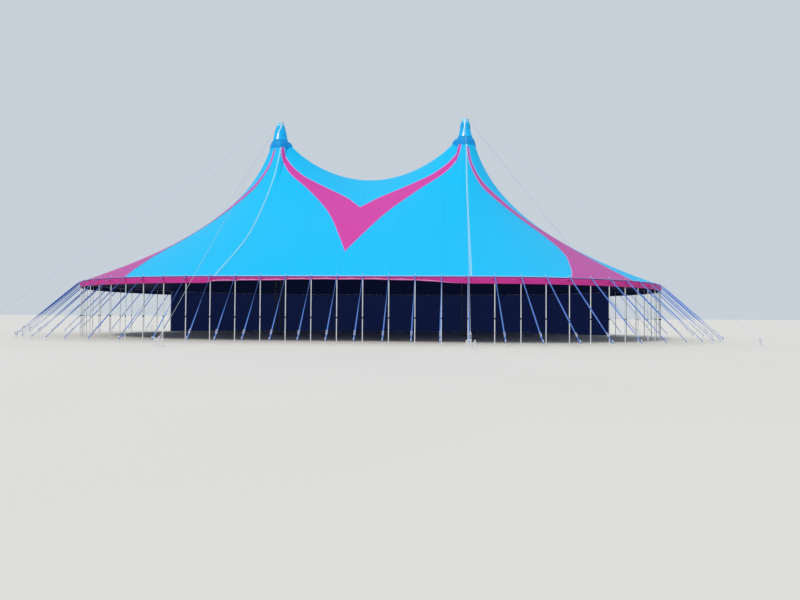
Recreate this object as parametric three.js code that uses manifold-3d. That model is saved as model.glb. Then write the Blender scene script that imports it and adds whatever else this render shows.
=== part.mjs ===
// A two-mast circus big top, as a scale model at 1:2.
//
// Every size below is the real tent's, in metres. The group's scale turns them into the model's
// millimetres. X runs along the ridge, from the left mast to the right one, -Y is the front with the
// open side, and Z is up from the ground.

import * as THREE from 'three';
import { mergeVertices } from 'three/addons/utils/BufferGeometryUtils.js';
import Module from 'manifold-3d';

const wasm = await Module();
wasm.setup();

// Scale of the model, and the running gap between touching pieces (0.3 mm on the model).
const modelScale = 1 / 2;
const mmPerMetre = 1000 * modelScale;
const gap = 0.3 / mmPerMetre;
const weldReach = 0.02 / mmPerMetre;

// The plan: a straight middle between the masts and a half circle at each end, cut into equal bays.
const bayWidth = 1.4;
const baysPerSide = 10;
const baysPerEnd = 30;
const baysRound = 2 * (baysPerSide + baysPerEnd);
const halfMast = (baysPerSide * bayWidth) / 2;
const endRadius = (baysPerEnd * bayWidth) / Math.PI;

// The canopy: a cloth net that hangs from two rings, a ridge rope and the eave.
const eaveHeight = 3.55;
const ringHeight = 14.6;
const ringRadius = 0.6;
const clothDrop = 0.03; // thickness of the cloth, measured plumb
const ridgeRopePull = 4.1; // against the cloth's own pull on one metre at the eave
const middleHoopPull = 0.1; // along the ridge, halfway between the masts
const pullPower = 0.845; // how fast a strip's pull falls as it narrows towards the mast
const ringFade = 8; // how soon the net's rings stop following the lift ring
const netRings = 8;
const netCrowding = 1.35; // draws the net's rings together near the masts
const netSweeps = 700;

// The edge: an eave cable on the poles, a webbing round the canopy's edge and the valance below it.
const cableSize = 0.024;
const webbingLow = eaveHeight - 0.045;
const webbingHigh = eaveHeight + 0.008;
const webbingThickness = 0.024;
const valanceDrop = 0.325;
const valanceBunchedDrop = 0.14;
const valanceThickness = 0.012;
const valanceBunchedFrom = 4; // bays either side of the middle of the front where it is tied up

// Side poles, guy straps and stakes.
const poleRadius = 0.025;
const poleTop = eaveHeight - 0.05;
const strapReachSides = 2.9;
const strapReachEnds = 3.6;
const strapReachBays = 3; // bays over which the reach grows, from the mast line on
const strapWidth = 0.05;
const strapThickness = 0.006;
const strapTop = eaveHeight - 0.006;
const strapFoot = 0.2;
const stakeRadius = 0.016;
const stakeHeight = 0.35;

// The side wall, hung at the rear only, from one bay line to another.
const wallFrom = 24.5;
const wallTo = 55;
const wallThickness = 0.012;
const wallTop = eaveHeight - 0.06;

// The masts: square lattice masts on base plates, with a head that carries the sheave.
const mastHalfWidth = 0.2; // from the mast's axis to the middle of a chord
const chordSize = 0.05;
const mastFoot = 0.06;
const mastTop = 15.6;
const mastBays = 9;
const baysPerCollar = 3;
const braceRadius = 0.018;
const basePlate = 0.8;
const basePlateThickness = 0.03;
const baseBlock = 0.52;

const headPlateRadius = 0.34;
const headPlateThickness = 0.03;
const headTubeRadius = 0.1;
const crownRadius = 0.26;
const crownLow = 16.02;
const crownHigh = 16.08;
const cheekOffset = 0.14;
const cheekThickness = 0.02;
const cheekWidth = 0.2;
const cheekTop = 16.26;
const sheaveRadius = 0.075;
const sheaveWidth = 0.06;
const sheaveHeight = 16.17;
const axleRadius = 0.02;

// The ring that lifts the canopy, and the cone sleeve over it.
const liftRingInner = 0.5;
const liftRingOuter = 0.5877;
const liftRingDepth = 0.07;
const ringArmRadius = 0.025;
const armSink = 0.01; // how far an arm runs into the ring
const capThickness = 0.014;
const capSkirtRadius = 0.8;
const capSkirtLow = 14.46;
const capShoulderRadius = 0.65;
const capShoulderHeight = 14.65;
const capNeckRadius = 0.55;
const capNeckHeight = 14.71;
const capWaistRadius = 0.47;
const capWaistHeight = 15.15;
const capTopHeight = crownHigh;
const capSides = 20;

// Steel stays from each mast head over the canopy to the ground.
const stayBearings = [0, 54, 126, 180]; // degrees from straight forward, turning outwards
const stayReach = 19.3;
const stayRadius = 0.008;
const stayRingInner = 0.185;
const stayRingOuter = 0.25;
const stayRingThickness = 0.06;
const anchorPlate = [0.5, 0.3, 0.02];
const anchorPegRadius = 0.025;
const anchorPegHeight = 0.42;
const anchorPegSpacing = 0.18;
const stayFoot = 0.3;

// How many sides round things are cut with: wide ones, the poles, and slim bars and ropes.
const roundSides = 12;
const poleSides = 6;
const slimSides = 4;
const braceSides = 3;

const clothBlue = { color: 0x1ac9fe, roughness: 0.45, metalness: 0 };
const clothPink = { color: 0xb0308a, roughness: 0.7, metalness: 0 };
const clothNavy = { color: 0x0d0f26, roughness: 0.8, metalness: 0 };
const webbingBlue = { color: 0x2f8fd0, roughness: 0.7, metalness: 0 };
const galvanised = { color: 0x9ea4a8, roughness: 0.45, metalness: 0.9 };

// The point of bearing i (bay lines counted from the middle of the front, turning to the right) that
// lies a given reach from the ridge line, or from the mast's axis round an end.
function planPoint(i, reach) {
  const bay = ((i % baysRound) + baysRound) % baysRound;
  const rightEnd = baysPerSide / 2;
  const back = rightEnd + baysPerEnd;
  const leftEnd = back + baysPerSide;
  const front = leftEnd + baysPerEnd;
  if (bay <= rightEnd) return [bay * bayWidth, -reach];
  if (bay < back) {
    const turn = ((bay - rightEnd) / baysPerEnd) * Math.PI;
    return [halfMast + reach * Math.sin(turn), -reach * Math.cos(turn)];
  }
  if (bay <= leftEnd) return [halfMast - (bay - back) * bayWidth, reach];
  if (bay < front) {
    const turn = ((bay - leftEnd) / baysPerEnd) * Math.PI;
    return [-halfMast - reach * Math.sin(turn), reach * Math.cos(turn)];
  }
  return [(bay - baysRound) * bayWidth, -reach];
}

// The same between two bay lines, where the edge runs straight from one pole to the next.
function edgePoint(i, reach) {
  const low = Math.floor(i);
  const [ax, ay] = planPoint(low, reach);
  const [bx, by] = planPoint(low + 1, reach);
  return [ax + (bx - ax) * (i - low), ay + (by - ay) * (i - low)];
}

// The bay lines from one end of a stretch of the edge to the other, with the ends themselves.
function bayLines(from, to) {
  const lines = [from];
  for (let i = Math.floor(from) + 1; i < to; i++) lines.push(i);
  return [...lines, to];
}

function geometryFrom(positions, triangles) {
  let volume = 0;
  const at = (n) => new THREE.Vector3(...positions[n]);
  for (const [a, b, c] of triangles) volume += at(a).dot(at(b).cross(at(c)));
  const facing = volume > 0 ? triangles : triangles.map(([a, b, c]) => [a, c, b]);
  const geometry = new THREE.BufferGeometry();
  geometry.setAttribute('position', new THREE.Float32BufferAttribute(positions.flat(), 3));
  geometry.setIndex(facing.flat());
  return geometry;
}

// A closed solid through a row of sections. Each section is two lists of points of equal length, its
// outer side and its inner side.
function loftSolid(sections) {
  const side = sections[0].outer.length;
  const loop = 2 * side;
  const positions = sections.flatMap(({ outer, inner }) => [...outer, ...inner.slice().reverse()]);
  const triangles = [];
  const quad = (a, b, c, d) => triangles.push([a, b, c], [a, c, d]);
  for (let s = 0; s < sections.length - 1; s++) {
    for (let n = 0; n < loop; n++) {
      const next = (n + 1) % loop;
      quad(s * loop + n, s * loop + next, (s + 1) * loop + next, (s + 1) * loop + n);
    }
  }
  const last = (sections.length - 1) * loop;
  for (let n = 0; n < side - 1; n++) {
    quad(n, loop - 1 - n, loop - 2 - n, n + 1);
    quad(last + n, last + n + 1, last + loop - 2 - n, last + loop - 1 - n);
  }
  return geometryFrom(positions, triangles);
}

function solidOf(geometry) {
  const bare = geometry.clone();
  bare.deleteAttribute('normal');
  bare.deleteAttribute('uv');
  const merged = mergeVertices(bare, 1e-6);
  return new wasm.Manifold(
    new wasm.Mesh({
      numProp: 3,
      vertProperties: new Float32Array(merged.attributes.position.array),
      triVerts: new Uint32Array(merged.index.array),
    }),
  );
}

// Draws corners together that a cut left closer than any real edge, and drops the faces that close up.
function welded(positions, triangles) {
  const kept = [];
  const renamed = positions.map((point) => {
    const near = kept.findIndex((other) => other.every((value, n) => Math.abs(value - point[n]) < weldReach));
    return near < 0 ? kept.push(point) - 1 : near;
  });
  const faces = triangles
    .map((corners) => corners.map((corner) => renamed[corner]))
    .filter(([p, q, r]) => p !== q && q !== r && r !== p);
  return geometryFrom(kept, faces);
}

const inThrees = (list) => Array.from({ length: list.length / 3 }, (_, n) => [...list.slice(3 * n, 3 * n + 3)]);

// One solid from many that overlap.
function fuse(geometries) {
  const whole = geometries.map(solidOf).reduce((sum, piece) => sum.add(piece));
  const { vertProperties, triVerts } = whole.getMesh();
  return welded(inThrees(vertProperties), inThrees(triVerts));
}

// Lays a piece that was made along Y from one point to another, with its X side level.
function laid(geometry, from, to) {
  const a = new THREE.Vector3(...from);
  const b = new THREE.Vector3(...to);
  const along = b.clone().sub(a).normalize();
  const across = along.clone().cross(new THREE.Vector3(0, 0, 1));
  if (across.length() < 0.001) across.set(1, 0, 0);
  across.normalize();
  geometry.applyMatrix4(new THREE.Matrix4().makeBasis(across, along, across.clone().cross(along)));
  return geometry.translate(...a.add(b).multiplyScalar(0.5).toArray());
}

const lengthOf = (from, to) => new THREE.Vector3(...from).distanceTo(new THREE.Vector3(...to));

// A straight bar of few sides from one point to another, with a flat side down.
function bar(from, to, radius, sides) {
  const geometry = new THREE.CylinderGeometry(radius, radius, lengthOf(from, to), sides);
  return laid(geometry.rotateY(Math.PI / sides), from, to);
}

function box(width, depth, low, high) {
  return new THREE.BoxGeometry(width, depth, high - low).translate(0, 0, (low + high) / 2);
}

function disc(radius, low, high, sides) {
  const geometry = new THREE.CylinderGeometry(radius, radius, high - low, sides);
  geometry.rotateX(Math.PI / 2).rotateZ(Math.PI / sides);
  return geometry.translate(0, 0, (low + high) / 2);
}

// A ring turned about the mast's axis from a profile of [radius, height] points.
function turned(profile, sides) {
  const points = [...profile, profile[0]].map(([radius, height]) => new THREE.Vector2(radius, height));
  return new THREE.LatheGeometry(points, sides).rotateX(Math.PI / 2).rotateZ(Math.PI / sides);
}

const tent = new THREE.Group();
tent.scale.setScalar(mmPerMetre);

function addPiece(name, geometry, finish, x = 0) {
  const mesh = new THREE.Mesh(geometry, new THREE.MeshStandardMaterial(finish));
  mesh.name = name;
  mesh.position.x = x;
  tent.add(mesh);
}

// The bay lines that the net follows in one quarter of the tent, from the middle of the front to the
// end of the ridge. Near the mast some more run to the ring.
function netLines() {
  const lines = [];
  const ringStart = (halfMast - ringRadius) / bayWidth;
  for (let i = 0; i < ringStart; i++) lines.push(i);
  for (const turn of [0, 22.5, 45, 67.5]) {
    lines.push((halfMast - ringRadius * Math.cos(THREE.MathUtils.degToRad(turn))) / bayWidth);
  }
  for (let i = baysPerSide / 2; i <= (baysPerSide + baysPerEnd) / 2; i++) lines.push(i);
  return lines;
}

// How far from the ridge line the canopy starts on a bay line: at the ridge rope, or at the ring.
function innerReach(line) {
  const off = halfMast - line * bayWidth;
  if (off <= 0) return ringRadius;
  return off < ringRadius ? Math.sqrt(ringRadius ** 2 - off ** 2) : 0;
}

// One quarter of the canopy, as rows of points from the ridge or ring down to the eave. The heights
// are those of a net in balance: every knot settles at the mean of its neighbours, each weighed by the
// pull of the cloth or rope between them.
function hangQuarter() {
  const lines = netLines();
  const rows = lines.map((line) => {
    const start = innerReach(line);
    return Array.from({ length: netRings + 1 }, (_, ring) => {
      const out = (ring / netRings) ** netCrowding;
      const reach = endRadius * out + start * (1 - out) ** ringFade;
      const [x, y] = planPoint(line, reach);
      const width = line > baysPerSide / 2 ? reach / endRadius : 1;
      const pull = Math.min(Math.hypot(x - halfMast, y) / endRadius, 1) ** (pullPower - 1);
      const onRing = ring === 0 && halfMast - line * bayWidth <= ringRadius + gap;
      const held = onRing || ring === netRings;
      return { x, y, z: ring === netRings ? eaveHeight : ringHeight, width, pull, held };
    });
  });
  const span = (a, b) => Math.hypot(a.x - b.x, a.y - b.y);
  const mean = (a, b, key) => (a[key] + b[key]) / 2;
  const links = rows.map((row) => row.map(() => []));
  const tie = (r, n, s, m, pull) => {
    links[r][n].push([rows[s][m], pull]);
    links[s][m].push([rows[r][n], pull]);
  };
  rows.forEach((row, r) => {
    const before = lines[Math.max(r - 1, 0)];
    const after = lines[Math.min(r + 1, lines.length - 1)];
    const breadth = ((after - before) / 2) * bayWidth;
    for (let n = 0; n < netRings; n++) {
      const [knot, below] = [row[n], row[n + 1]];
      const pull = breadth * mean(knot, below, 'width') * mean(knot, below, 'pull');
      tie(r, n, r, n + 1, pull / span(knot, below));
    }
    const next = rows[r + 1];
    if (!next) return;
    const straight = lines[r] < baysPerSide / 2;
    for (let n = 0; n < netRings; n++) {
      const above = n > 0 ? span(row[n - 1], row[n]) / 2 : 0;
      const depth = above + span(row[n], row[n + 1]) / 2;
      const towardsMast = straight ? (mean(row[n], next[n], 'x') / halfMast) ** 2 : 1;
      const hoop = middleHoopPull + (1 - middleHoopPull) * towardsMast;
      const rope = n === 0 && straight ? ridgeRopePull : 0;
      const pull = hoop * mean(row[n], next[n], 'pull') * depth + rope;
      tie(r, n, r + 1, n, pull / Math.max(span(row[n], next[n]), gap));
    }
  });
  for (let sweep = 0; sweep < netSweeps; sweep++) {
    rows.forEach((row, r) => {
      row.forEach((knot, n) => {
        if (knot.held) return;
        const total = links[r][n].reduce((sum, [, pull]) => sum + pull, 0);
        knot.z = links[r][n].reduce((sum, [other, pull]) => sum + pull * other.z, 0) / total;
      });
    });
  }
  return rows.map((row) => row.map(({ x, y, z }) => [x, y, z]));
}

const quarter = hangQuarter();

// Which row of the quarter stands on the mast's own bay line.
const mastRow = netLines().indexOf(baysPerSide / 2);

// Draws the end rows of a length of cloth in by half a gap, so that two lengths meet without touching.
function trimmed(rows) {
  const pulled = (row, next) =>
    row.map((point, n) => {
      const away = new THREE.Vector3(...next[n]).sub(new THREE.Vector3(...point)).setZ(0).normalize();
      return [point[0] + away.x * gap, point[1] + away.y * gap, point[2]];
    });
  const last = rows.length - 1;
  return [pulled(rows[0], rows[1]), ...rows.slice(1, last), pulled(rows[last], rows[last - 1])];
}

// Draws the ridge end of each row off the ridge line by half a gap.
function offRidge(rows) {
  return rows.map(([first, ...rest]) => {
    const y = Math.min(first[1], -gap);
    return [[first[0], y, first[2]], ...rest];
  });
}

function clothSolid(rows) {
  return loftSolid(rows.map((row) => ({ outer: row, inner: row.map(([x, y, z]) => [x, y, z - clothDrop]) })));
}

function addCanopy() {
  const middle = quarter.slice(0, mastRow + 1);
  const mirrored = middle.slice(1).reverse().map((row) => row.map(([x, y, z]) => [-x, y, z]));
  const end = trimmed(quarter.slice(mastRow));
  const front = offRidge(trimmed([...mirrored, ...middle]));
  const turnedBy = (rows, sx, sy) => rows.map((row) => row.map(([x, y, z]) => [sx * x, sy * y, z]));
  addPiece('canopy_middle_front', clothSolid(front), clothBlue);
  addPiece('canopy_middle_back', clothSolid(turnedBy(front, 1, -1)), clothBlue);
  addPiece('canopy_right_front', clothSolid(end), clothBlue);
  addPiece('canopy_right_back', clothSolid(turnedBy(end, 1, -1)), clothBlue);
  addPiece('canopy_left_front', clothSolid(turnedBy(end, -1, 1)), clothBlue);
  addPiece('canopy_left_back', clothSolid(turnedBy(end, -1, -1)), clothBlue);
}

// A strip that follows the edge of the tent between two reaches and two heights. low may be a function
// of the bay line.
function edgeStrip(from, to, inReach, outReach, low, high) {
  const lowAt = typeof low === 'function' ? low : () => low;
  const sections = bayLines(from + gap, to - gap).map((line) => {
    const [ix, iy] = edgePoint(line, inReach);
    const [ox, oy] = edgePoint(line, outReach);
    const foot = lowAt(line);
    return {
      outer: [[ox, oy, foot], [ox, oy, high]],
      inner: [[ix, iy, foot], [ix, iy, high]],
    };
  });
  return loftSolid(sections);
}

// The stretches that the edge is made in. Each runs from the middle of one bay to that of another.
const stretches = [
  ['front', -5.5, 5.5],
  ['front_right', 5.5, 15.5],
  ['right', 15.5, 24.5],
  ['back_right', 24.5, 34.5],
  ['back', 34.5, 45.5],
  ['back_left', 45.5, 55.5],
  ['left', 55.5, 64.5],
  ['front_left', 64.5, 74.5],
];

function polesWithin(from, to) {
  const lines = [];
  for (let i = Math.ceil(from); i <= Math.floor(to); i++) lines.push(i);
  return lines;
}

const cableTop = eaveHeight - clothDrop - gap;
const cableReach = endRadius - cableSize / 2;

function addSidePoles(name, from, to) {
  const cable = edgeStrip(from, to, endRadius - cableSize, endRadius, cableTop - cableSize, cableTop);
  const poles = polesWithin(from, to).map((line) => {
    const [x, y] = planPoint(line, cableReach);
    return bar([x, y, 0], [x, y, poleTop], poleRadius, poleSides);
  });
  addPiece(`side_poles_${name}`, fuse([cable, ...poles]), galvanised);
}

// A flat strap from one point to another, its width level.
function strap(from, to) {
  return laid(new THREE.BoxGeometry(strapWidth, lengthOf(from, to), strapThickness), from, to);
}

// How far out from the eave a strap is staked.
function strapReach(line) {
  const bay = THREE.MathUtils.euclideanModulo(line, baysRound);
  const half = Math.min(bay, baysRound - bay);
  const past = Math.min(half - baysPerSide / 2, baysPerSide / 2 + baysPerEnd - half);
  const share = THREE.MathUtils.clamp(past / strapReachBays, 0, 1);
  return THREE.MathUtils.lerp(strapReachSides, strapReachEnds, share);
}

function addGuyStraps(name, from, to) {
  const inner = endRadius + gap;
  const outer = inner + webbingThickness;
  const webbing = edgeStrip(from, to, inner, outer, webbingLow, webbingHigh);
  const straps = polesWithin(from, to).flatMap((line) => {
    const [tx, ty] = planPoint(line, outer - webbingThickness / 2);
    const [fx, fy] = planPoint(line, endRadius + strapReach(line));
    return [
      strap([tx, ty, strapTop], [fx, fy, strapFoot]),
      bar([fx, fy, 0], [fx, fy, stakeHeight], stakeRadius, slimSides),
    ];
  });
  addPiece(`guy_straps_${name}`, fuse([webbing, ...straps]), webbingBlue);
}

// The valance hangs its full depth but for the middle of the front, where it is tied up in a bunch.
function valanceFoot(line) {
  const off = Math.min(line, baysRound - line, Math.abs(line));
  const bunched = off <= valanceBunchedFrom ? 1 : Math.max(0, 1 - (off - valanceBunchedFrom));
  return webbingLow - gap - (valanceDrop + (valanceBunchedDrop - valanceDrop) * bunched);
}

function addValance(name, from, to) {
  const inner = endRadius + poleRadius - cableSize / 2 + 2 * gap;
  const outer = inner + valanceThickness;
  const strip = edgeStrip(from, to, inner, outer, valanceFoot, webbingLow - gap);
  addPiece(`valance_${name}`, strip, clothPink);
}

function addWall() {
  const outer = cableReach - poleRadius - 2 * gap;
  const backFrom = baysPerSide / 2 + baysPerEnd;
  const corners = [wallFrom, backFrom, backFrom + baysPerSide, wallTo];
  ['wall_back_right', 'wall_back', 'wall_back_left'].forEach((name, n) => {
    const cloth = edgeStrip(corners[n], corners[n + 1], outer - wallThickness, outer, 0, wallTop);
    addPiece(name, cloth, clothNavy);
  });
}

// One lattice mast about its own axis: four chords, zigzag braces on each side, and level collars.
function latticeMast() {
  const corners = [[-1, -1], [1, -1], [1, 1], [-1, 1]].map(([sx, sy]) => [
    sx * mastHalfWidth,
    sy * mastHalfWidth,
  ]);
  const low = mastFoot + gap;
  const bayHeight = (mastTop - low - chordSize) / mastBays;
  const level = (n) => low + chordSize / 2 + n * bayHeight;
  const parts = corners.map(([x, y]) => box(chordSize, chordSize, low, mastTop).translate(x, y, 0));
  corners.forEach((a, side) => {
    const b = corners[(side + 1) % corners.length];
    for (let n = 0; n <= mastBays; n++) {
      if (n % baysPerCollar === 0) parts.push(bar([...a, level(n)], [...b, level(n)], braceRadius, braceSides));
      const [start, end] = n % 2 === 0 ? [a, b] : [b, a];
      if (n < mastBays) parts.push(bar([...start, level(n)], [...end, level(n + 1)], braceRadius, braceSides));
    }
  });
  return fuse(parts);
}

function mastBase() {
  return fuse([
    box(basePlate, basePlate, 0, basePlateThickness),
    box(baseBlock, baseBlock, basePlateThickness / 2, mastFoot),
  ]);
}

function mastHead() {
  const plateLow = mastTop + gap;
  const cheeks = [-1, 1].map((side) =>
    box(cheekThickness, cheekWidth, crownLow, cheekTop).translate(side * cheekOffset, 0, 0),
  );
  const axleReach = cheekOffset + cheekThickness;
  return fuse([
    disc(headPlateRadius, plateLow, plateLow + headPlateThickness, roundSides),
    disc(headTubeRadius, plateLow, crownHigh, roundSides),
    disc(crownRadius, crownLow, crownHigh, capSides),
    ...cheeks,
    bar([-axleReach, 0, sheaveHeight], [axleReach, 0, sheaveHeight], axleRadius, slimSides),
    bar([-sheaveWidth / 2, 0, sheaveHeight], [sheaveWidth / 2, 0, sheaveHeight], sheaveRadius, roundSides),
  ]);
}

function liftRing() {
  const top = ringHeight - clothDrop / 2;
  const low = top - liftRingDepth;
  const profile = [[liftRingInner, low], [liftRingOuter, low], [liftRingOuter, top], [liftRingInner, top]];
  const chordCorner = (mastHalfWidth + chordSize / 2) * Math.SQRT2 + gap;
  const middle = (low + top) / 2;
  const arms = [45, 135, 225, 315].map((degrees) => {
    const turn = THREE.MathUtils.degToRad(degrees);
    const at = (reach) => [reach * Math.cos(turn), reach * Math.sin(turn), middle];
    return bar(at(chordCorner), at(liftRingInner + armSink), ringArmRadius, slimSides);
  });
  return fuse([turned(profile, capSides), ...arms]);
}

// The cone sleeve: a flared skirt over the ring, a waist, and a narrow top on the mast head's crown.
function mastCap() {
  const inside = [
    [capSkirtRadius, capSkirtLow],
    [capShoulderRadius, capShoulderHeight],
    [capNeckRadius, capNeckHeight],
    [capWaistRadius, capWaistHeight],
    [crownRadius + gap, crownLow],
    [crownRadius + gap, capTopHeight],
  ];
  const outside = inside.map(([radius, height]) => [radius + capThickness, height]);
  return turned([...outside, ...inside.reverse()], capSides);
}

// The stays of one mast, joined by the ring plate that lies on the crown. side is -1 for the left.
function mastStays(side) {
  const low = crownHigh + gap;
  const high = low + stayRingThickness;
  const ring = [[stayRingInner, low], [stayRingOuter, low], [stayRingOuter, high], [stayRingInner, high]];
  const parts = [turned(ring, capSides)];
  for (const bearing of stayBearings) {
    const turn = THREE.MathUtils.degToRad(bearing);
    const at = (reach, height) => [side * reach * Math.sin(turn), -reach * Math.cos(turn), height];
    const ringReach = stayRingOuter - stayRadius;
    const [px, py] = at(stayReach, 0);
    const anchor = [new THREE.BoxGeometry(...anchorPlate).translate(0, 0, anchorPlate[2] / 2)];
    for (const offset of [-1, 0, 1]) {
      const x = offset * anchorPegSpacing;
      anchor.push(bar([x, 0, 0], [x, 0, anchorPegHeight], anchorPegRadius, slimSides));
    }
    for (const piece of anchor) parts.push(piece.rotateZ(side * turn).translate(px, py, 0));
    parts.push(bar(at(ringReach, high - 2 * stayRadius), [px, py, stayFoot], stayRadius, slimSides));
  }
  return fuse(parts);
}

addCanopy();
for (const [name, from, to] of stretches) {
  addSidePoles(name, from, to);
  addGuyStraps(name, from, to);
  addValance(name, from, to);
}
addWall();
for (const [name, side] of [['left', -1], ['right', 1]]) {
  const x = side * halfMast;
  addPiece(`mast_${name}`, latticeMast(), galvanised, x);
  addPiece(`mast_base_${name}`, mastBase(), galvanised, x);
  addPiece(`mast_head_${name}`, mastHead(), galvanised, x);
  addPiece(`canopy_ring_${name}`, liftRing(), galvanised, x);
  addPiece(`mast_cap_${name}`, mastCap(), clothBlue, x);
  addPiece(`mast_stays_${name}`, mastStays(side), galvanised, x);
}

export default tent;
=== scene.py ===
import math

import bpy
import numpy as np
from mathutils import Matrix, Vector


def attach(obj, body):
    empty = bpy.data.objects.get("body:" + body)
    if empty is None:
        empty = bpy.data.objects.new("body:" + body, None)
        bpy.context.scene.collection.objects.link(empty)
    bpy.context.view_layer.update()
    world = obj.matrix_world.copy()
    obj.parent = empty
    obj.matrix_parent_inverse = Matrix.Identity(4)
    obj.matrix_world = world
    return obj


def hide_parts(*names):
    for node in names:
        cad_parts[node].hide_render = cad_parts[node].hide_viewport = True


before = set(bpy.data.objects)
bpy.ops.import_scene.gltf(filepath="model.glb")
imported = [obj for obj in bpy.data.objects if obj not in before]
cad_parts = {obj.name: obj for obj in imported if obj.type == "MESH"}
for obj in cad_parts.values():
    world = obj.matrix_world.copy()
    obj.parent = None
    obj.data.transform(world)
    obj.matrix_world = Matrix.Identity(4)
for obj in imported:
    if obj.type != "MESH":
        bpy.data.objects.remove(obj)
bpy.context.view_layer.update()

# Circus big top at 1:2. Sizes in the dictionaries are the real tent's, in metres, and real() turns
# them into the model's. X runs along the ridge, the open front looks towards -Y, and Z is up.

modelScale = 0.5
seatGap = 0.0006  # between pieces that touch: 0.3 mm on the model
mergeReach = 1e-5  # two corners of a mesh that lie nearer than this are one
sideNames = {-1: "left", 1: "right"}
faceNames = {1: "front", -1: "back"}


def real(*metres):
    scaled = tuple(value * modelScale for value in metres)
    return scaled[0] if len(scaled) == 1 else scaled


# The plan of the tent: a straight middle and two half circles, cut into equal bays
plan = {"bayWidth": 1.4, "baysPerSide": 10, "baysPerEnd": 30, "eaveHeight": 3.55}
baysRound = 2 * (plan["baysPerSide"] + plan["baysPerEnd"])
halfMast = plan["baysPerSide"] * plan["bayWidth"] / 2
endRadius = plan["baysPerEnd"] * plan["bayWidth"] / math.pi
mastLine = plan["baysPerSide"] / 2


# Bay lines are counted from the middle of the front, turning to the right. Reach is the distance
# from the ridge line, or from the mast's axis round an end.
def planPoint(line, reach):
    bay = np.mod(line, baysRound)
    half = np.minimum(bay, baysRound - bay)
    side = np.where(bay <= baysRound / 2, 1.0, -1.0)
    back = mastLine + plan["baysPerEnd"]
    turn = np.clip((half - mastLine) / plan["baysPerEnd"], 0, 1) * math.pi
    straight = np.minimum(half, mastLine) - np.maximum(half - back, 0)
    return side * (straight * plan["bayWidth"] + reach * np.sin(turn)), -reach * np.cos(turn)


# The edge runs straight from pole to pole, so between bay lines it lies a little inside the circle
def edgePoint(line, reach):
    low = np.floor(line)
    ax, ay = planPoint(low, reach)
    bx, by = planPoint(low + 1, reach)
    share = line - low
    return ax + (bx - ax) * share, ay + (by - ay) * share


def edgeReach(line):
    x, y = edgePoint(line, endRadius)
    return np.hypot(np.maximum(np.abs(x) - halfMast, 0), y)


# Blender housekeeping
def deselectAll():
    if bpy.context.object and bpy.context.object.mode != "OBJECT":
        bpy.ops.object.mode_set(mode="OBJECT")
    bpy.ops.object.select_all(action="DESELECT")


def pick(piece):
    deselectAll()
    piece.select_set(True)
    bpy.context.view_layer.objects.active = piece


def named(name):
    piece = bpy.context.active_object
    piece.name = piece.data.name = name
    return piece


def applyModifier(piece, kind, **settings):
    pick(piece)
    modifier = piece.modifiers.new(kind.title(), kind)
    for key, value in settings.items():
        setattr(modifier, key, value)
    bpy.ops.object.modifier_apply(modifier=modifier.name)


def smooth(piece, degrees):
    pick(piece)
    bpy.ops.object.shade_smooth_by_angle(angle=math.radians(degrees))


def join(pieces, name):
    deselectAll()
    for piece in pieces:
        piece.select_set(True)
    bpy.context.view_layer.objects.active = pieces[0]
    if len(pieces) > 1:
        bpy.ops.object.join()
    return named(name)


def paint(piece, *materials):
    piece.data.materials.clear()
    for material in materials:
        piece.data.materials.append(material)
    return piece


def finishPiece(piece, replaced=()):
    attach(piece, "root")
    if replaced:
        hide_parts(*replaced)


# How far along a row of points each one lies
def runAlong(points, axis=0):
    run = np.linalg.norm(np.diff(points, axis=axis), axis=-1).cumsum(axis)
    return np.concatenate([np.zeros_like(np.take(run, [0], axis)), run], axis)


# A sum of waves, each given as its strength, its turns, its start and its drift down the cloth
def waves(table, place, down=0.0, shape=np.sin):
    return sum(strength * shape(turns * place + start + drift * down)
               for strength, turns, start, drift in table)


def startEdit(piece):
    pick(piece)
    bpy.ops.object.mode_set(mode="EDIT")
    bpy.ops.mesh.select_all(action="SELECT")


def endEdit():
    bpy.ops.object.mode_set(mode="OBJECT")


# A grid primitive whose knots are drawn to the points of a table, points[across][along]. uv gives
# the cloth's own place of each knot in real metres.
def gridPiece(name, points, uv):
    across, along = points.shape[0] - 1, points.shape[1] - 1
    deselectAll()
    bpy.ops.mesh.primitive_grid_add(x_subdivisions=across, y_subdivisions=along, size=1)
    piece = named(name)
    mesh = piece.data
    flat = np.zeros(len(mesh.vertices) * 3)
    mesh.vertices.foreach_get("co", flat)
    flat = flat.reshape(-1, 3)
    column = np.rint((flat[:, 0] + 0.5) * across).astype(int)
    row = np.rint((flat[:, 1] + 0.5) * along).astype(int)
    mesh.vertices.foreach_set("co", (points[column, row] * modelScale).ravel())
    corner = np.zeros(len(mesh.loops), int)
    mesh.loops.foreach_get("vertex_index", corner)
    mesh.uv_layers.active.data.foreach_set("uv", uv[column[corner], row[corner]].ravel())
    mesh.update()
    return piece


def turnOver(piece):
    startEdit(piece)
    bpy.ops.mesh.flip_normals()
    endEdit()


# Turns a sheet over if its first face looks away from a direction
def faceTowards(piece, direction):
    if piece.data.polygons[0].normal.dot(Vector(direction)) < 0:
        turnOver(piece)


# Joins the edges of a grid that was drawn round into a tube, and turns its faces outwards
def closeTube(piece, ends=False):
    startEdit(piece)
    bpy.ops.mesh.remove_doubles(threshold=mergeReach)
    if ends:
        bpy.ops.mesh.fill_holes(sides=0)
    bpy.ops.mesh.normals_make_consistent(inside=False)
    endEdit()


# Sheets of cloth: their own uv across and along them, in metres, and their thickness
def clothUv(points):
    return np.stack(np.broadcast_arrays(runAlong(points, 0).mean(1)[:, None], runAlong(points, 1)), -1)


def thicken(piece, thickness, degrees=50, offset=-1, lining=0):
    applyModifier(piece, "SOLIDIFY", thickness=real(thickness), offset=offset, material_offset=lining)
    smooth(piece, degrees)


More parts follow.
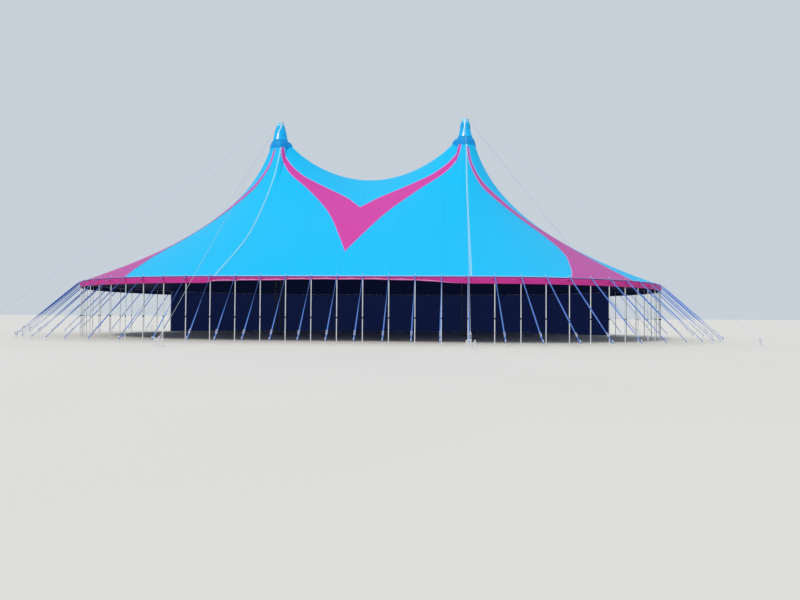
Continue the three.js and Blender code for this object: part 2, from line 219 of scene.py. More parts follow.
# A round piece: a circle that is extruded and scaled up a profile of (radius, height)
def turnedPiece(name, profile, sides, closed=True, at=(0.0, 0.0)):
    deselectAll()
    radius, height = profile[0]
    bpy.ops.mesh.primitive_circle_add(vertices=sides, radius=real(radius), location=(0, 0, real(height)),
                                      fill_type="NGON" if closed else "NOTHING")
    piece = named(name)
    bpy.ops.object.transform_apply(location=True, rotation=True, scale=True)
    startEdit(piece)
    for nextRadius, nextHeight in profile[1:]:
        rise = {"value": (0, 0, real(nextHeight - height))}
        if closed:
            bpy.ops.mesh.extrude_region_move(TRANSFORM_OT_translate=rise)
        else:
            bpy.ops.mesh.extrude_edges_move(TRANSFORM_OT_translate=rise)
        grow = nextRadius / radius
        bpy.ops.transform.resize(value=(grow, grow, 1), center_override=(0, 0, real(nextHeight)))
        radius, height = nextRadius, nextHeight
    bpy.ops.mesh.select_all(action="SELECT")
    bpy.ops.mesh.normals_make_consistent(inside=False)
    endEdit()
    piece.data.transform(Matrix.Translation((*real(*at), 0)))
    return piece


# A round bar from one point to another
def barPiece(name, start, end, radius, sides):
    deselectAll()
    a, b = Vector(real(*start)), Vector(real(*end))
    turn = (b - a).to_track_quat("Z", "Y").to_euler()
    bpy.ops.mesh.primitive_cylinder_add(vertices=sides, radius=real(radius), depth=(b - a).length,
                                        location=(a + b) / 2, rotation=turn)
    piece = named(name)
    bpy.ops.object.transform_apply(location=True, rotation=True, scale=True)
    return piece


# A block with softened edges
def blockPiece(name, low, high, bevel=0.0):
    deselectAll()
    size = [b - a for a, b in zip(low, high)]
    middle = [(a + b) / 2 for a, b in zip(low, high)]
    bpy.ops.mesh.primitive_cube_add(size=1, location=real(*middle))
    piece = named(name)
    piece.scale = real(*size)
    bpy.ops.object.transform_apply(location=True, rotation=True, scale=True)
    if bevel:
        applyModifier(piece, "BEVEL", width=real(bevel), segments=2)
    return piece


# Copies of a template, each with its own mesh, joined into one piece
def copiesOf(template, name, places):
    copies = []
    for place in places:
        copy = template.copy()
        copy.data = template.data.copy()
        copy.data.transform(place)
        bpy.context.collection.objects.link(copy)
        copies.append(copy)
    return join(copies, name)


def remove(*pieces):
    for piece in pieces:
        bpy.data.objects.remove(piece, do_unlink=True)


# Where a template made at the middle of the front goes on another bay line
def atLine(line):
    x, y = (float(value) for value in planPoint(np.float64(line), endRadius))
    bay = line % baysRound
    half = min(bay, baysRound - bay)
    turn = min(max((half - mastLine) / plan["baysPerEnd"], 0), 1) * math.pi
    side = 1 if bay <= baysRound / 2 else -1
    return Matrix.Translation((*real(x, y), 0)) @ Matrix.Rotation(side * turn, 4, "Z")


# Colours and material nodes
def linear(hexText):
    channels = [int(hexText[i:i + 2], 16) / 255 for i in (1, 3, 5)]
    return tuple(c / 12.92 if c <= 0.04045 else ((c + 0.055) / 1.055) ** 2.4 for c in channels) + (1,)


def addNode(material, kind, settings=None, inputs=None):
    node = material.node_tree.nodes.new(kind)
    for key, value in (settings or {}).items():
        setattr(node, key, value)
    for key, value in (inputs or {}).items():
        if isinstance(value, bpy.types.NodeSocket):
            material.node_tree.links.new(value, node.inputs[key])
        else:
            node.inputs[key].default_value = value
    return node


def startMaterial(name):
    material = bpy.data.materials.new(name)
    material.use_nodes = True
    material.node_tree.nodes.clear()
    return material


def endMaterial(material, **inputs):
    names = {key.replace("_", " "): value for key, value in inputs.items()}
    shader = addNode(material, "ShaderNodeBsdfPrincipled", None, names)
    addNode(material, "ShaderNodeOutputMaterial", None, {"Surface": shader.outputs[0]})
    return material


# A share of one colour with the rest of another
def blend(hexText, other, share):
    return tuple(c * share + d * (1 - share) for c, d in zip(linear(hexText)[:3], linear(other)[:3])) + (1,)


# The nodes that the materials share. Each gives its own output.
def uvOf(material):
    return addNode(material, "ShaderNodeUVMap").outputs[0]


def placeOf(material):
    return addNode(material, "ShaderNodeTexCoord").outputs["Object"]


def noiseOf(material, place, scale, detail=2.0, roughness=0.5):
    return addNode(material, "ShaderNodeTexNoise", None,
                   {"Vector": place, "Scale": scale, "Detail": detail, "Roughness": roughness}).outputs["Fac"]


def spreadOf(material, value, low=0.0, high=1.0, toLow=0.0, toHigh=1.0):
    return addNode(material, "ShaderNodeMapRange", None,
                   {"Value": value, "From Min": low, "From Max": high,
                    "To Min": toLow, "To Max": toHigh}).outputs[0]


def mathOf(material, operation, a, b):
    return addNode(material, "ShaderNodeMath", {"operation": operation}, {0: a, 1: b}).outputs[0]


def mixOf(material, share, a, b):
    return addNode(material, "ShaderNodeMix", {"data_type": "RGBA"}, {"Factor": share, 6: a, 7: b}).outputs[2]


def bumpOf(material, height, strength, distance, **under):
    return addNode(material, "ShaderNodeBump", None,
                   {"Height": height, "Strength": strength, "Distance": distance, **under}).outputs[0]


# A Wave texture of scale 1 repeats its bands every 0.314 m
def bandsOf(material, uv, way, run, **more):
    return addNode(material, "ShaderNodeTexWave", {"wave_type": "BANDS", "bands_direction": way},
                   {"Vector": uv, "Scale": 0.314 / run, "Distortion": 0.0, **more}).outputs["Fac"]


weave = {"grid": 0.02, "gridDepth": 0.002, "rib": 0.012, "dust": "#8A8F94", "lapHalf": 0.025,
         "lapEdge": 0.007, "lapTint": 0.16}


# Knife-coated PVC on a woven polyester scrim. The coat is smooth and a little glossy, and the yarns
# print through it as a fine square grid. Yarns lie 1 mm apart; the grid is drawn at 20 mm so it shows.
# seam is the spacing of the welded laps between the cloth's widths, 50 mm wide and a little deeper in
# colour. paintedGlow is painted light: a constant emission that stands in for the little daylight that
# comes through the coat of a cloth seen from inside.
def coatedCloth(name, hexText, roughness=0.5, soil=0.03, bump=0.25, seam=0.0, paintedGlow="#000000"):
    material = startMaterial(name)
    uv, place = uvOf(material), placeOf(material)
    broad, fine = noiseOf(material, place, 0.9, 5.0, 0.55), noiseOf(material, place, 11.0, 6.0, 0.6)
    spread = spreadOf(material, mathOf(material, "MULTIPLY", broad, fine), 0.12, 0.42, toHigh=soil)
    colour = mixOf(material, spread, linear(hexText), blend(hexText, weave["dust"], 0.45))
    if seam:
        across = addNode(material, "ShaderNodeSeparateXYZ", None, {0: uv}).outputs[0]
        lap = spreadOf(material, mathOf(material, "PINGPONG", across, seam / 2),
                       weave["lapHalf"] - weave["lapEdge"], weave["lapHalf"] + weave["lapEdge"],
                       weave["lapTint"], 0.0)
        colour = mixOf(material, lap, colour, blend(hexText, "#000000", 0.55))
    warp, weft = (bandsOf(material, uv, way, weave["grid"]) for way in "XY")
    swell = bumpOf(material, noiseOf(material, place, 3.0, 3.0), bump, 0.02)
    cross = mathOf(material, "MULTIPLY", warp, weft)
    relief = bumpOf(material, cross, 0.12, weave["gridDepth"], Normal=swell)
    gloss = spreadOf(material, fine, toLow=roughness - 0.06, toHigh=roughness + 0.1)
    return endMaterial(material, Base_Color=colour, Roughness=gloss, Specular_IOR_Level=0.15, Normal=relief,
                       Emission_Color=linear(paintedGlow), Emission_Strength=1.0)


print("materials")
canopyBlue = coatedCloth("coatedClothSkyBlue", "#00BEF6", seam=2.8)
canopyPink = coatedCloth("coatedClothPink", "#D03FA5")
# The end ribbons' pink is darker and greyer than the middle's: painted shade and painted sky sheen, with a
# little more dust
dustyPinkPaintedShadeAndSheen = coatedCloth("coatedClothPinkDustyPaintedShadeAndSheen", "#BC50A4", soil=0.08)
valancePink = coatedCloth("coatedClothMagenta", "#C5338F", soil=0.06, bump=0.8)
# The valance's inner side, pale pink, which is also a painted highlight on the rolled valance
valanceInsidePaintedHighlight = coatedCloth("coatedClothPalePinkPaintedHighlight", "#E684C0", soil=0.06, bump=0.8)
seamLilac = coatedCloth("weldedSeamLilac", "#C8A4E4", roughness=0.45)
# Both navy cloths glow by a painted emission: painted light for daylight through the coat
blackoutNavy = coatedCloth("blackoutBackingNavy", "#141A42", roughness=0.65, paintedGlow="#060B1E")
wallNavy = coatedCloth("blackoutWallNavy", "#141C46", roughness=0.65, soil=0.06, paintedGlow="#0C1534")

# The floor, the backdrop and the light of a plain studio
studio = {"floorSide": 900.0, "floorDrop": 0.001, "paper": "#E6E3DE", "paperShade": "#DEDBD6",
          "sky": "#DCE6F0", "skyStrength": 0.8, "sun": "#FFF6E8", "sunTurn": -28.0, "sunHeight": 50.0,
          "sunStrength": 1.6, "sunSoftness": 12.0}


# Seamless studio paper: matt and pale, with a slow change of shade across the roll
def paperMaterial():
    material = startMaterial("matteStudioPaper")
    light, shade = linear(studio["paper"]), linear(studio["paperShade"])
    tint = mixOf(material, noiseOf(material, placeOf(material), 0.15), light, shade)
    return endMaterial(material, Base_Color=tint, Roughness=0.9)


def makeStudio():
    deselectAll()
    bpy.ops.mesh.primitive_plane_add(size=studio["floorSide"], location=(0, 0, -studio["floorDrop"]))
    floor = named("studioFloor")
    bpy.ops.object.transform_apply(location=True)
    floor.data.materials.append(paperMaterial())
    world = bpy.data.worlds.new("softSky")
    world.use_nodes = True
    background = world.node_tree.nodes["Background"]
    background.inputs["Color"].default_value = linear(studio["sky"])
    background.inputs["Strength"].default_value = studio["skyStrength"]
    bpy.context.scene.world = world
    deselectAll()
    bpy.ops.object.light_add(type="SUN", location=(0, 0, 20))
    sun = named("softKeyLight")
    sun.data.energy = studio["sunStrength"]
    sun.data.angle = math.radians(studio["sunSoftness"])
    sun.data.color = linear(studio["sun"])[:3]
    turn, height = math.radians(studio["sunTurn"]), math.radians(studio["sunHeight"])
    level = math.cos(height)
    towards = Vector((math.sin(turn) * level, -math.cos(turn) * level, math.sin(height)))
    sun.rotation_mode = "QUATERNION"
    sun.rotation_quaternion = towards.to_track_quat("Z", "Y")
    bpy.context.scene.view_settings.view_transform = "Standard"


# The photograph's own viewpoint: eye height above the ground, a little right of the tent's middle
viewpoint = {"place": (6.329, -46.641, 1.413), "turn": 5.024, "tilt": 1.507, "roll": 0.39, "lens": 28.32,
             "sensor": 36.0, "farthest": 500.0}


def makeCamera():
    deselectAll()
    bpy.ops.object.camera_add(location=real(*viewpoint["place"]))
    camera = named("photoCamera")
    camera.data.lens = viewpoint["lens"]
    camera.data.sensor_width = viewpoint["sensor"]
    camera.data.clip_end = viewpoint["farthest"]
    turn, tilt, roll = (math.radians(viewpoint[key]) for key in ("turn", "tilt", "roll"))
    look = Matrix.Rotation(turn, 3, "Z") @ Matrix.Rotation(math.pi / 2 + tilt, 3, "X")
    camera.rotation_euler = (look @ Matrix.Rotation(roll, 3, "Z")).to_euler()
    bpy.context.scene.camera = camera


makeCamera()
makeStudio()
print("camera, floor and light")

# The canopy hangs as a net in balance: every knot settles at the mean of its neighbours, each
# weighed by the pull of the cloth or rope between them
net = {"ringHeight": 14.6, "ringRadius": 0.6, "ridgeRopePull": 4.1, "middleHoopPull": 0.1,
       "pullPower": 0.845, "rings": 40, "crowding": 1.35, "ringFade": 8, "linesPerBay": 4,
       "nearMast": (0, 15, 30, 45, 60, 75), "trials": 16, "clothThickness": 0.004}


def netLines():
    step = 1 / net["linesPerBay"]
    ringStart = (halfMast - net["ringRadius"]) / plan["bayWidth"]
    lines = [i * step for i in range(int(mastLine / step)) if i * step < ringStart - 0.05]
    for degrees in net["nearMast"]:
        across = net["ringRadius"] * math.cos(math.radians(degrees))
        lines.append((halfMast - across) / plan["bayWidth"])
    quarterEnd = (plan["baysPerSide"] + plan["baysPerEnd"]) / 2
    return np.array(lines + list(np.arange(mastLine, quarterEnd + step / 2, step)))


def innerReach(line):
    off = np.maximum(halfMast - line * plan["bayWidth"], 0)
    return np.sqrt(np.maximum(net["ringRadius"] ** 2 - off ** 2, 0))


quarterLines = netLines()
ringShares = (np.arange(net["rings"] + 1) / net["rings"]) ** net["crowding"]


# The net's rings follow the lift ring at first and the eave soon after
def ringReach(line, share):
    return edgeReach(line) * share + innerReach(line) * (1 - share) ** net["ringFade"]


def hangQuarter():
    lines = quarterLines
    reach = ringReach(lines[:, None], ringShares)
    x, y = planPoint(lines[:, None], reach)
    width = np.where(lines[:, None] > mastLine, reach / endRadius, 1.0)
    stress = np.minimum(np.hypot(x - halfMast, y) / endRadius, 1) ** (net["pullPower"] - 1)
    held = np.zeros(x.shape, bool)
    held[:, -1] = True
    held[halfMast - lines * plan["bayWidth"] <= net["ringRadius"] + 1e-6, 0] = True
    height = np.full(x.shape, net["ringHeight"])
    height[:, -1] = plan["eaveHeight"]
    knot = np.arange(x.size).reshape(x.shape)
    breadth = np.gradient(lines)[:, None] * plan["bayWidth"]
    breadth[[0, -1]] /= 2
    down = np.hypot(np.diff(x, axis=1), np.diff(y, axis=1))
    pull = breadth * (width[:, :-1] + width[:, 1:]) / 2 * (stress[:, :-1] + stress[:, 1:]) / 2 / down
    ties = [(knot[:, :-1], knot[:, 1:], pull)]
    depth = np.zeros(x.shape)
    depth[:, :-1] += down / 2
    depth[:, 1:] += down / 2
    gapAcross = np.maximum(np.hypot(np.diff(x, axis=0), np.diff(y, axis=0)), 1e-3)
    straight = (lines[:-1] < mastLine)[:, None]
    towardsMast = np.where(straight, ((x[:-1] + x[1:]) / 2 / halfMast) ** 2, 1.0)
    hoop = net["middleHoopPull"] + (1 - net["middleHoopPull"]) * towardsMast
    rope = np.zeros(gapAcross.shape)
    rope[straight[:, 0], 0] = net["ridgeRopePull"]
    hoop = (hoop * (stress[:-1] + stress[1:]) / 2 * (depth[:-1] + depth[1:]) / 2 + rope) / gapAcross
    ties.append((knot[:-1, :-1], knot[1:, :-1], hoop[:, :-1]))
    a, b, w = (np.concatenate([tie[n].ravel() for tie in ties]) for n in range(3))
    balance = np.zeros((x.size, x.size))
    np.add.at(balance, (a, a), w)
    np.add.at(balance, (b, b), w)
    np.add.at(balance, (a, b), -w)
    np.add.at(balance, (b, a), -w)
    free, fixed = knot[~held], knot[held]
    load = -balance[np.ix_(free, fixed)] @ height.ravel()[fixed]
    solved = height.ravel()
    solved[free] = np.linalg.solve(balance[np.ix_(free, free)], load)
    return solved.reshape(x.shape)


quarterHeights = hangQuarter()
print("canopy net hung, ridge at", round(float(quarterHeights[0, 0]), 2), "m")


# Height of the canopy's outer face over any point of the plan. The net's ring through the point is
# found by a few rounds of trial, because its reach depends on itself.
def clothHeight(x, y):
    over = np.maximum(np.abs(x) - halfMast, 0)
    line = np.where(over > 0, mastLine + np.arctan2(over, np.abs(y)) / math.pi * plan["baysPerEnd"],
                    np.abs(x) / plan["bayWidth"])
    reach = np.hypot(over, y)
    start, end = innerReach(line), edgeReach(line)
    share = np.clip(reach / end, 0, 1)
    for _ in range(net["trials"]):
        share = np.clip((reach - start * (1 - share) ** net["ringFade"]) / end, 0, 1)
    ring = net["rings"] * share ** (1 / net["crowding"])
    spot = np.interp(line, quarterLines, np.arange(len(quarterLines)))
    i = np.minimum(np.floor(spot).astype(int), len(quarterLines) - 2)
    j = np.minimum(np.floor(ring).astype(int), net["rings"] - 1)
    u, v = spot - i, ring - j
    h = quarterHeights
    return ((1 - u) * (1 - v) * h[i, j] + u * (1 - v) * h[i + 1, j]
            + (1 - u) * v * h[i, j + 1] + u * v * h[i + 1, j + 1])


# Points of the plan laid on the cloth, lifted off it by a little
def onCloth(x, y, lift=0.0):
    z = clothHeight(x, y)
    step = 0.02
    slopeX = (clothHeight(x + step, y) - clothHeight(x - step, y)) / (2 * step)
    slopeY = (clothHeight(x, y + step) - clothHeight(x, y - step)) / (2 * step)
    size = np.sqrt(slopeX ** 2 + slopeY ** 2 + 1)
    return np.stack([x - slopeX / size * lift, y - slopeY / size * lift, z + lift / size], -1)


# One length of the canopy between two bay lines of the quarter, mirrored to its own side
def canopyLength(name, low, high, mirrorX, mirrorY, bothSides=False):
    rows = (quarterLines >= low) & (quarterLines <= high)
    lines = quarterLines[rows]
    x, y = planPoint(lines[:, None], ringReach(lines[:, None], ringShares))
    z = quarterHeights[rows]
    if bothSides:
        x, y, z = (np.concatenate([part[:0:-1] * sign, part]) for part, sign in ((x, -1), (y, 1), (z, 1)))
        lines = np.concatenate([-lines[:0:-1], lines])
    points = np.stack([x * mirrorX, y * mirrorY, z], -1)
    uv = np.stack(np.broadcast_arrays(lines[:, None] * plan["bayWidth"], runAlong(points, 1)), -1)
    piece = gridPiece(f"canopy_cloth_{name}", points, uv)
    if mirrorX * mirrorY > 0:
        turnOver(piece)
    paint(piece, canopyBlue, blackoutNavy)
    thicken(piece, net["clothThickness"], 60, lining=1)
    finishPiece(piece, [f"canopy_{name}"])


for mirrorY, faceName in faceNames.items():
    canopyLength(f"middle_{faceName}", 0, mastLine, 1, mirrorY, bothSides=True)
    for mirrorX, sideName in sideNames.items():
        canopyLength(f"{sideName}_{faceName}", mastLine, float(quarterLines[-1]), mirrorX, mirrorY)
print("canopy")

# The pink ribbons. Each edge is a line of points on the plan, from the mast cap down, given for the
# right front: the middle ones from the ridge's middle, the end ones from the mast.
ribbons = {
    "lift": 0.014, "thickness": 0.006, "seam": 0.06, "mostSeam": 0.22, "along": 150, "across": 14,
    "middleUpper": [(6.53, -0.66), (6.44, -0.74), (6.29, -0.86), (6.0, -1.11), (5.69, -1.38), (5.28, -1.68),
                    (4.6, -2.11), (3.7, -2.52), (2.8, -2.95), (1.75, -3.54), (1.05, -4.08), (0.5, -4.75),
                    (0.0, -5.45)],
    "middleLower": [(6.72, -0.82), (6.67, -1.02), (6.57, -1.18), (6.41, -1.31), (6.22, -1.49), (5.95, -1.82),
                    (5.62, -2.16), (5.17, -2.55), (4.58, -3.03), (4.0, -3.58), (3.42, -4.25), (2.9, -4.92),
                    (2.26, -5.87), (1.7, -6.89), (1.24, -7.9), (0.85, -8.86), (0.48, -9.78), (0.14, -10.65),
                    (0.0, -11.05)],
    "endUpper": [(0.3, -0.9), (0.36, -1.15), (0.47, -1.4), (0.62, -1.6), (0.78, -1.8), (1.07, -2.06),
                 (1.4, -2.26), (1.8, -2.4), (2.4, -2.52), (3.2, -2.72), (4.1, -2.94), (5.1, -3.05),
                 (6.1, -3.4), (7.0, -4.15), (7.7, -5.05), (8.2, -6.05), (8.65, -7.1), (9.1, -8.2),
                 (9.57, -9.33)],
    "endLower": [(0.1, -0.85), (0.15, -1.2), (0.22, -1.45), (0.37, -1.77), (0.63, -2.14), (0.95, -2.55),
                 (1.25, -2.8), (1.65, -3.0), (2.05, -3.16), (2.65, -3.36), (3.4, -3.6), (4.1, -3.98),
                 (4.78, -4.5), (5.34, -5.35), (5.75, -6.5), (5.95, -7.87), (5.88, -9.5), (5.74, -11.07),
                 (5.5, -12.184)],
}


# A smooth line through a few points, at even steps of its own length
def smoothLine(points, count, between=24):
    p = np.array([points[0], *points, points[-1]], float)
    t = np.linspace(0, 1, between, endpoint=False)[:, None]
    parts = [0.5 * (2 * b + (c - a) * t + (2 * a - 5 * b + 4 * c - d) * t ** 2
                    + (3 * b - a - 3 * c + d) * t ** 3) for a, b, c, d in zip(p, p[1:], p[2:], p[3:])]
    curve = np.concatenate(parts + [p[-1:]])
    run = runAlong(curve)
    steps = np.linspace(0, run[-1], count)
    return np.stack([np.interp(steps, run, column) for column in curve.T], -1)


# Round an end the same points as a bay line and a reach, so that a ribbon's foot follows the eave
def asLineAndReach(points):
    x, y = np.array(points).T
    return np.stack([mastLine + np.arctan2(x, -y) / math.pi * plan["baysPerEnd"], np.hypot(x, y)], -1)


# A ribbon between its two edges, with a paler welded seam along each of them
def ribbonPiece(kind, mirrorX, mirrorY):
    roundEnd, across = kind == "end", ribbons["across"]
    edges = [ribbons[f"{kind}Upper"], ribbons[f"{kind}Lower"]]
    if roundEnd:
        edges = [asLineAndReach(points) for points in edges]
    a, b = (smoothLine(points, ribbons["along"]) for points in edges)
    ends = [np.stack(planPoint(*line.T), -1) if roundEnd else line for line in (a, b)]
    seam = np.clip(ribbons["seam"] / np.linalg.norm(ends[1] - ends[0], axis=1), 0, ribbons["mostSeam"])
    seam = seam[:, None]
    share = np.concatenate([0 * seam, seam + (1 - 2 * seam) * np.linspace(0, 1, across - 1), 0 * seam + 1], 1)
    flat = a[:, None] * (1 - share[..., None]) + b[:, None] * share[..., None]
    x, y = flat[..., 0], flat[..., 1]
    if roundEnd:
        x, y = planPoint(x, np.minimum(y, edgeReach(x)))
    points = onCloth(x * mirrorX, y * mirrorY, ribbons["lift"])
    width = np.linalg.norm(points[:, -1] - points[:, 0], axis=1)[:, None]
    uv = np.stack(np.broadcast_arrays(runAlong(points[:, 0])[:, None], share * width), -1)
    side, front = sideNames[mirrorX], faceNames[mirrorY]
    piece = gridPiece(f"ribbon_{kind}_{side}_{front}", points.swapaxes(0, 1), uv.swapaxes(0, 1))
    if mirrorX * mirrorY > 0:
        turnOver(piece)
    # The round ends take the pink with painted shade and sheen
    paint(piece, dustyPinkPaintedShadeAndSheen if roundEnd else canopyPink, seamLilac)
    for face in piece.data.polygons:
        face.material_index = 1 if face.index % across in (0, across - 1) else 0
    thicken(piece, ribbons["thickness"], 60)
    finishPiece(piece)


for mirrorY in faceNames:
    for mirrorX in sideNames:
        for kind in ("middle", "end"):
            ribbonPiece(kind, mirrorX, mirrorY)
print("ribbons")

# A tube swept once round the edge: rings is an array of (reach, height) for each bay line and each point
# of its profile
def edgeSweep(name, lines, rings):
    rings = np.concatenate([rings, rings[:, :1]], 1)
    x, y = edgePoint(lines[:, None], rings[..., 0])
    points = np.stack([x, y, rings[..., 1]], -1)
    uv = np.stack(np.broadcast_arrays(lines[:, None] * plan["bayWidth"], runAlong(points, 1)), -1)
    piece = gridPiece(name, points, uv)
    closeTube(piece)
    return piece


# The edge is made in eight stretches, each from one bay line to another
stretches = {"front": (-5.5, 5.5), "front_right": (5.5, 15.5), "right": (15.5, 24.5),
             "back_right": (24.5, 34.5), "back": (34.5, 45.5), "back_left": (45.5, 55.5),
             "left": (55.5, 64.5), "front_left": (64.5, 74.5)}


def polesWithin(name):
    low, high = stretches[name]
    return range(math.ceil(low), math.floor(high) + 1)


def everyLine(low, high, perBay):
    inner = np.arange(math.ceil(low * perBay), math.floor(high * perBay) + 1) / perBay
    return np.unique(np.concatenate([[low], inner, [high]]))


# Galvanised steel: zinc crystals in dull and bright patches, more or less worn
def zincSteel(name, colour, roughness, metallic, spangle=0.03, dull="#D2D7DC"):
    material = startMaterial(name)
    place = placeOf(material)
    cells = addNode(material, "ShaderNodeTexVoronoi", {"feature": "F1"},
                    {"Vector": place, "Scale": 1 / spangle, "Randomness": 1.0}).outputs["Distance"]
    both = mathOf(material, "ADD", cells, noiseOf(material, place, 6.0, 5.0, 0.6))
    tint = mixOf(material, spreadOf(material, both, 0.4, 1.3), linear(colour), linear(dull))
    gloss = spreadOf(material, both, 0.4, 1.3, roughness - 0.08, roughness + 0.14)
    return endMaterial(material, Base_Color=tint, Roughness=gloss, Metallic=metallic,
                       Normal=bumpOf(material, cells, 0.08, 0.001))


galvanised = zincSteel("hotDipGalvanisedSteel", "#F4F7FA", 0.5, 0.05)
brightZinc = zincSteel("brightZincPlatedSteel", "#F0F2F2", 0.35, 0.5, spangle=0.008)


# Woven polyester webbing: a dense ribbed weave, a little hairy, so it has no hard highlight. The ribs
# lie 2 mm apart and are drawn at 12 mm.
def wovenWebbing(name, colour, worn):
    material = startMaterial(name)
    uv, place = uvOf(material), placeOf(material)
    ribs = bandsOf(material, uv, "X", weave["rib"], Distortion=0.4, Detail=1.0)
    spread = spreadOf(material, noiseOf(material, place, 2.2, 4.0, 0.6), 0.35, 0.75, toHigh=worn)
    tint = mixOf(material, spread, linear(colour), blend(colour, "#A9B6C6", 0.6))
    return endMaterial(material, Base_Color=tint, Roughness=0.72, IOR=1.5,
                       Normal=bumpOf(material, ribs, 0.3, 0.001))


edgeTape = wovenWebbing("edgeTapeLilac", "#A9BAF0", worn=0.2)
edgeWebbingPaintedShadow = wovenWebbing("violetWebbingPaintedShadow", "#221052", worn=0.05)
strapBlue = wovenWebbing("strapWebbingBlue", "#4878D2", worn=0.3)

# The edge: a dark violet webbing round the canopy under a pale tape, its dark a painted shadow line
# under the tape, and the steel eave cable inside it
# profile gives the reach past the eave and the height of each point, and its lap lies on the canopy.
edge = {"profile": [(seatGap, 3.505), (0.02, 3.505), (0.024, 3.511), (0.024, 3.546), (0.018, 3.558),
                    (-0.06, 3.57), (-0.06, 3.564), (seatGap, 3.55)],
        "tapeFrom": 3.549, "lap": 0.06, "lapPoints": {5: 0.01, 6: 0.003}, "cableSize": 0.024,
        "cableTop": 3.5194, "cableSides": 10}


def makeEdge():
    lines = everyLine(0, baysRound, 2)
    profile = np.array(edge["profile"]) + [endRadius, 0]
    rings = np.broadcast_to(profile, (len(lines), *profile.shape)).copy()
    for point, lift in edge["lapPoints"].items():
        rings[:, point, 1] = clothHeight(*edgePoint(lines, endRadius - edge["lap"])) + lift
    webbing = edgeSweep("eave_webbing", lines, rings)
    paint(webbing, edgeWebbingPaintedShadow, edgeTape)
    # Below tapeFrom the webbing takes the dark violet of the painted shadow line
    for face in webbing.data.polygons:
        face.material_index = 1 if face.center.z > real(edge["tapeFrom"]) else 0
    smooth(webbing, 40)
    finishPiece(webbing, [f"guy_straps_{name}" for name in stretches])
    turn = np.linspace(0, 2 * math.pi, edge["cableSides"], endpoint=False)
    half = edge["cableSize"] / 2
    profile = np.stack([endRadius - half + half * np.cos(turn),
                        edge["cableTop"] - half + half * np.sin(turn)], -1)
    cable = edgeSweep("eave_cable", lines, np.broadcast_to(profile, (len(lines), *profile.shape)))
    smooth(paint(cable, galvanised), 60)
    finishPiece(cable, [f"side_poles_{name}" for name in stretches])


makeEdge()
print("eave webbing and cable")

# profile gives the radius and height of a side pole from its foot disc, over the joint, to its head pin
sidePole = {"inset": 0.012, "sides": 12, "collar": (1.296, 1.375),
            "profile": [(0.06, 0.0), (0.06, 0.008), (0.029, 0.012), (0.025, 0.022), (0.025, 1.296),
                        (0.021, 1.297), (0.021, 1.3), (0.031, 1.301), (0.031, 1.37), (0.025, 1.374),
                        (0.025, 3.45), (0.019, 3.47), (0.012, 3.472), (0.012, 3.69), (0.0048, 3.7)]}


# Moulded rubber: dark, dull and finely grained
def mouldedRubber(name, colour):
    material = startMaterial(name)
    place = placeOf(material)
    tint = mixOf(material, noiseOf(material, place, 9.0, 4.0), linear(colour), linear("#2E3136"))
    return endMaterial(material, Base_Color=tint, Roughness=0.75,
                       Normal=bumpOf(material, noiseOf(material, place, 160.0, 3.0), 0.2, 0.001))


collarBlack = mouldedRubber("mouldedRubberBlack", "#14161A")


# A galvanised tube in two lengths with a rubber collar on the joint, a foot disc and a head pin
def poleTemplate():
    pole = turnedPiece("poleTemplate", sidePole["profile"], sidePole["sides"], at=(0, sidePole["inset"]))
    paint(pole, galvanised, collarBlack)
    low, high = real(*sidePole["collar"])
    for face in pole.data.polygons:
        face.material_index = 1 if low < face.center.z < high else 0
    return pole


template = poleTemplate()
for name in stretches:
    poles = copiesOf(template, f"poles_{name}", [atLine(line) for line in polesWithin(name)])
    smooth(poles, 40)
    finishPiece(poles, [f"side_poles_{name}"])
remove(template)
print("side poles")

strap = {"reachSides": 2.9, "reachEnds": 3.6, "reachBays": 3, "eye": 3.6, "eyeOut": 0.006, "top": 3.585,
         "topOut": 0.034, "foot": 0.2, "width": 0.06, "thickness": 0.01, "steps": 15, "sides": 8,
         "twist": [(0, 0), (0.03, 15), (0.1, 60), (0.32, 66), (0.6, 30), (0.78, 0), (1, 0)],
         "stake": [(0.016, 0.0), (0.016, 0.31), (0.03, 0.315), (0.031, 0.33), (0.024, 0.35)],
         "stakeLoop": [(0.018, 0.172), (0.023, 0.176), (0.023, 0.224), (0.018, 0.228)],
         "strapEye": [(0.018, 3.592), (0.03, 3.596), (0.03, 3.606), (0.018, 3.61)]}

# A plate of the ratchet is given by its distance from the middle and its two corners, and a bar by its
# half length, its place along the strap, its height, its radius and its sides
ratchet = {"height": 0.56,
           "plates": [(0.034, (-0.003, -0.1, -0.012), (0.003, 0.07, 0.032)),
                      (0.0391, (-0.003, -0.02, 0.016), (0.003, 0.15, 0.05))],
           "bars": [(0.04, 0, 0.012, 0.018, 8), (0.045, 0.14, 0.034, 0.013, 8),
                    (0.037, -0.088, 0.006, 0.007, 6)]}


def strapReach(line):
    bay = line % baysRound
    half = min(bay, baysRound - bay)
    past = min(half - mastLine, mastLine + plan["baysPerEnd"] - half)
    share = min(max(past / strap["reachBays"], 0), 1)
    return strap["reachSides"] + (strap["reachEnds"] - strap["reachSides"]) * share


def ratchetPiece():
    parts = []
    for side in sideNames:
        for middle, low, high in ratchet["plates"]:
            shift = np.array([side * middle, 0, 0])
            parts.append(blockPiece("ratchetPlate", low + shift, high + shift))
    for half, y, z, radius, sides in ratchet["bars"]:
        parts.append(barPiece("ratchetBar", (-half, y, z), (half, y, z), radius, sides))
    return paint(join(parts, "ratchet"), brightZinc)


